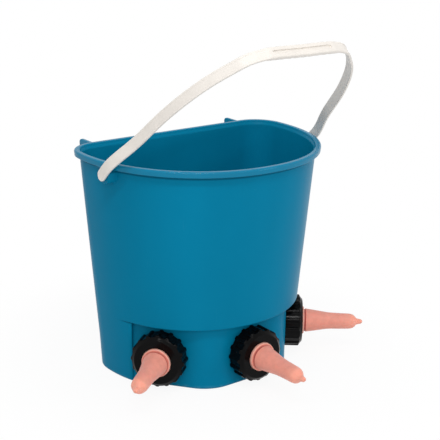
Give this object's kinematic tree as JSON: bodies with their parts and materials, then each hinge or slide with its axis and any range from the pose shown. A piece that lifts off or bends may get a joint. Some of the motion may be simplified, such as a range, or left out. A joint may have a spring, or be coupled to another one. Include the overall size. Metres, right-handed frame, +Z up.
{
  "type": "multi-teat milk feeder",
  "caption": "D-shaped bucket feeder for young stock with a bail handle, rail hooks and rubber teats clamped by ribbed collar nuts.",
  "frame": {"origin": "on the flat underside, at the centre that the rounded front is drawn from", "axes": "+Z up, the flat back and its hooks towards +Y, the middle teat towards -Y"},
  "size_m": [0.343, 0.2986, 0.4094],
  "materials": {
    "teal_plastic": "satin moulded polypropylene",
    "cream_plastic": "natural moulded polyethylene",
    "black_plastic": "glossy moulded nylon",
    "pink_rubber": "soft satin rubber",
    "grey_rubber": "matt sealing rubber",
    "white_plastic": "smooth acetal"
  },
  "bodies": {
    "bucket": {"bucket_shell": "teal_plastic", "spigot_left": "black_plastic", "washer_left": "grey_rubber", "valve_cage_left": "white_plastic", "spigot_front": "black_plastic", "washer_front": "grey_rubber", "valve_cage_front": "white_plastic", "spigot_right": "black_plastic", "washer_right": "grey_rubber", "valve_cage_right": "white_plastic"},
    "handle": {"handle": "cream_plastic"},
    "ball_left": {"valve_ball_left": "white_plastic"},
    "teat_left": {"teat_left": "pink_rubber"},
    "nut_left": {"nut_left": "black_plastic"},
    "ball_front": {"valve_ball_front": "white_plastic"},
    "teat_front": {"teat_front": "pink_rubber"},
    "nut_front": {"nut_front": "black_plastic"},
    "ball_right": {"valve_ball_right": "white_plastic"},
    "teat_right": {"teat_right": "pink_rubber"},
    "nut_right": {"nut_right": "black_plastic"}
  },
  "joints": [
    {"name": "handle_hinge", "type": "hinge", "parent": "bucket", "child": "handle", "pos_m": [0, -0.04, 0.257], "axis": [1, 0, 0], "range_deg": [-71, 97]},
    {"name": "teat_draw_left", "type": "slide", "parent": "bucket", "child": "teat_left", "axis": [-0.7826, -0.6225, 0], "range_m": [0, 0.0121]},
    {"name": "nut_turn_left", "type": "hinge", "parent": "teat_left", "child": "nut_left", "pos_m": [-0.09354, -0.0744, 0.0389], "axis": [-0.7826, -0.6225, 0], "range_deg": [0, 1080]},
    {"name": "ball_lift_left", "type": "slide", "parent": "bucket", "child": "ball_left", "axis": [-0.7826, -0.6225, 0], "range_m": [0, 0.003]},
    {"name": "teat_draw_front", "type": "slide", "parent": "bucket", "child": "teat_front", "axis": [0, -1, 0], "range_m": [0, 0.0121]},
    {"name": "nut_turn_front", "type": "hinge", "parent": "teat_front", "child": "nut_front", "pos_m": [0, -0.12203, 0.0389], "axis": [0, -1, 0], "range_deg": [0, 1080]},
    {"name": "ball_lift_front", "type": "slide", "parent": "bucket", "child": "ball_front", "axis": [0, -1, 0], "range_m": [0, 0.003]},
    {"name": "teat_draw_right", "type": "slide", "parent": "bucket", "child": "teat_right", "axis": [0.7826, -0.6225, 0], "range_m": [0, 0.0121]},
    {"name": "nut_turn_right", "type": "hinge", "parent": "teat_right", "child": "nut_right", "pos_m": [0.09354, -0.0744, 0.0389], "axis": [0.7826, -0.6225, 0], "range_deg": [0, 1080]},
    {"name": "ball_lift_right", "type": "slide", "parent": "bucket", "child": "ball_right", "axis": [0.7826, -0.6225, 0], "range_m": [0, 0.003]}
  ],
  "couplings": [
    {"joint": "teat_draw_left", "follows": "nut_turn_left", "m_per_rad": 0.00063662},
    {"joint": "teat_draw_front", "follows": "nut_turn_front", "m_per_rad": 0.00063662},
    {"joint": "teat_draw_right", "follows": "nut_turn_right", "m_per_rad": 0.00063662}
  ]
}
